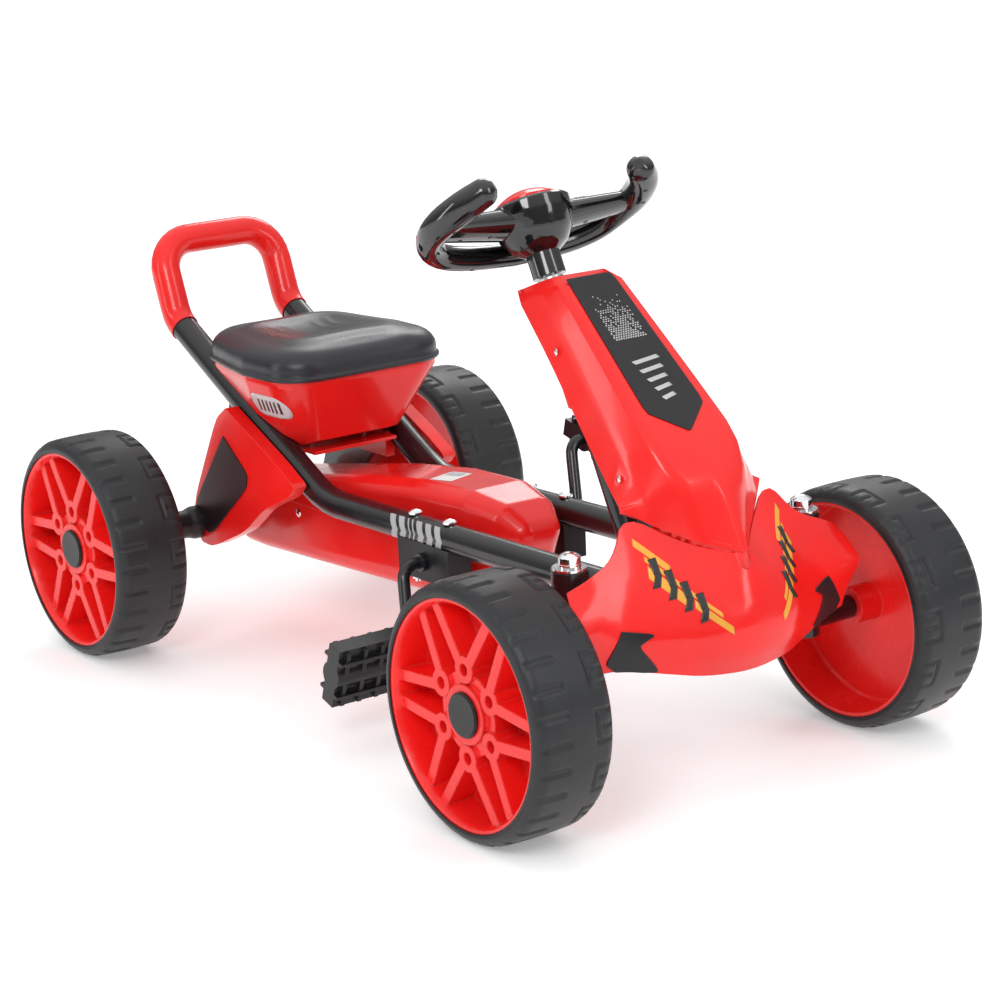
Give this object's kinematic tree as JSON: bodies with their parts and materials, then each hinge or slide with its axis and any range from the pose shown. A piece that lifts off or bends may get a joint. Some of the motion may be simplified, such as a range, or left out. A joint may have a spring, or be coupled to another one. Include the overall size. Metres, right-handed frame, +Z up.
{
  "type": "pedal go kart",
  "caption": "Child's pedal go kart: low tube frame with push hoop, moulded seat, steered front wheels on kingpins and a chain drive from a bent crank to the rear axle.",
  "frame": {"origin": "floor level, midway between the axles on the kart's middle plane", "axes": "the driver faces -Y, +X is the driver's left, +Z is up; wheels turn about X"},
  "size_m": [0.4654, 0.844, 0.4853],
  "materials": {
    "red_plastic": "glossy moulded plastic",
    "black_plastic": "moulded plastic",
    "black_paint": "satin powder coat",
    "black_gloss": "glossy plastic",
    "seat_black": "matte moulded plastic",
    "tyre": "matte foam tyre",
    "steel": "bright steel",
    "chrome": "plated"
  },
  "bodies": {
    "chassis": {"rail_left": "black_paint", "rail_right": "black_paint", "front_beam": "black_paint", "head_tube": "black_paint", "column_bushes": "black_plastic", "rear_brackets": "black_paint", "push_hoop": "red_plastic", "crank_blocks": "black_plastic", "block_screws": "chrome", "block_nuts": "chrome", "chain_case_upper": "red_plastic", "chain_case_lower": "red_plastic", "pod_left": "red_plastic", "pod_right": "red_plastic", "pod_inserts": "black_plastic", "axle_bushes": "black_plastic", "axle_sleeves": "black_plastic", "seat_tub": "red_plastic", "seat_pad": "seat_black", "seat_bracket": "red_plastic", "panel_screws": "chrome", "console_shell": "red_plastic", "console_back": "red_plastic", "console_panel": "black_plastic", "nose_shell": "red_plastic", "nose_inserts": "black_plastic", "chain": "steel"},
    "steering": {"steering_column": "steel", "steering_wheel": "black_gloss", "horn_spring": "steel", "wheel_switch": "black_plastic", "collar_screw": "chrome"},
    "horn": {"horn_button": "red_plastic"},
    "left_knuckle": {"knuckle_left": "black_paint", "kingpin_nut_left": "chrome", "stub_nut_left": "chrome"},
    "right_knuckle": {"knuckle_right": "black_paint", "kingpin_nut_right": "chrome", "stub_nut_right": "chrome"},
    "left_tie_rod": {"tie_rod_left": "steel"},
    "right_tie_rod": {"tie_rod_right": "steel"},
    "front_left_wheel": {"tyre_front_left": "tyre", "rim_front_left": "red_plastic", "cap_front_left": "black_plastic"},
    "front_right_wheel": {"tyre_front_right": "tyre", "rim_front_right": "red_plastic", "cap_front_right": "black_plastic"},
    "rear_drive": {"rear_axle": "steel", "rear_sprocket": "steel", "rear_axle_nuts": "chrome", "tyre_rear_right": "tyre", "rim_rear_right": "red_plastic", "cap_rear_right": "black_plastic"},
    "rear_left_wheel": {"tyre_rear_left": "tyre", "rim_rear_left": "red_plastic", "cap_rear_left": "black_plastic"},
    "crank": {"crank_rod": "black_paint", "front_sprocket": "steel"},
    "left_pedal": {"pedal_left": "black_plastic"},
    "right_pedal": {"pedal_right": "black_plastic"}
  },
  "joints": [
    {"name": "steering", "type": "hinge", "parent": "chassis", "child": "steering", "pos_m": [0, -0.287, 0.1], "axis": [0, 0.4384, 0.8988], "range_deg": [-26, 26]},
    {"name": "horn_press", "type": "slide", "parent": "steering", "child": "horn", "axis": [0, -0.4384, -0.8988], "range_m": [0, 0.003], "stiffness_N_per_m": 400, "springref_m": -0.002, "deforming": ["horn_spring"]},
    {"name": "left_knuckle_turn", "type": "hinge", "parent": "chassis", "child": "left_knuckle", "pos_m": [0.121, -0.317, 0.105], "axis": [0, 0, 1], "range_deg": [-19, 19]},
    {"name": "right_knuckle_turn", "type": "hinge", "parent": "chassis", "child": "right_knuckle", "pos_m": [-0.121, -0.317, 0.105], "axis": [0, 0, 1], "range_deg": [-19, 19]},
    {"name": "left_tie_rod_turn", "type": "hinge", "parent": "left_knuckle", "child": "left_tie_rod", "pos_m": [0.121, -0.267, 0.095], "axis": [0, 0, 1], "range_deg": [-19, 19]},
    {"name": "right_tie_rod_turn", "type": "hinge", "parent": "right_knuckle", "child": "right_tie_rod", "pos_m": [-0.121, -0.267, 0.095], "axis": [0, 0, 1], "range_deg": [-19, 19]},
    {"name": "front_left_spin", "type": "hinge", "parent": "left_knuckle", "child": "front_left_wheel", "pos_m": [0.19625, -0.317, 0.105], "axis": [1, 0, 0], "continuous": true},
    {"name": "front_right_spin", "type": "hinge", "parent": "right_knuckle", "child": "front_right_wheel", "pos_m": [-0.19625, -0.317, 0.105], "axis": [1, 0, 0], "continuous": true},
    {"name": "axle_spin", "type": "hinge", "parent": "chassis", "child": "rear_drive", "pos_m": [0, 0.317, 0.105], "axis": [1, 0, 0], "continuous": true},
    {"name": "rear_left_spin", "type": "hinge", "parent": "rear_drive", "child": "rear_left_wheel", "pos_m": [0.19625, 0.317, 0.105], "axis": [1, 0, 0], "continuous": true},
    {"name": "crank_spin", "type": "hinge", "parent": "chassis", "child": "crank", "pos_m": [0, -0.0465, 0.138], "axis": [1, 0, 0], "continuous": true},
    {"name": "left_pedal_spin", "type": "hinge", "parent": "crank", "child": "left_pedal", "pos_m": [0.15, -0.02085, 0.20848], "axis": [1, 0, 0], "continuous": true},
    {"name": "right_pedal_spin", "type": "hinge", "parent": "crank", "child": "right_pedal", "pos_m": [-0.15, -0.07215, 0.06752], "axis": [1, 0, 0], "continuous": true}
  ],
  "couplings": [
    {"joint": "left_knuckle_turn", "follows": "steering", "ratio": 0.72},
    {"joint": "right_knuckle_turn", "follows": "steering", "ratio": 0.72},
    {"joint": "left_tie_rod_turn", "follows": "steering", "ratio": -0.72},
    {"joint": "right_tie_rod_turn", "follows": "steering", "ratio": -0.72},
    {"joint": "crank_spin", "follows": "axle_spin", "ratio": 0.55556}
  ]
}
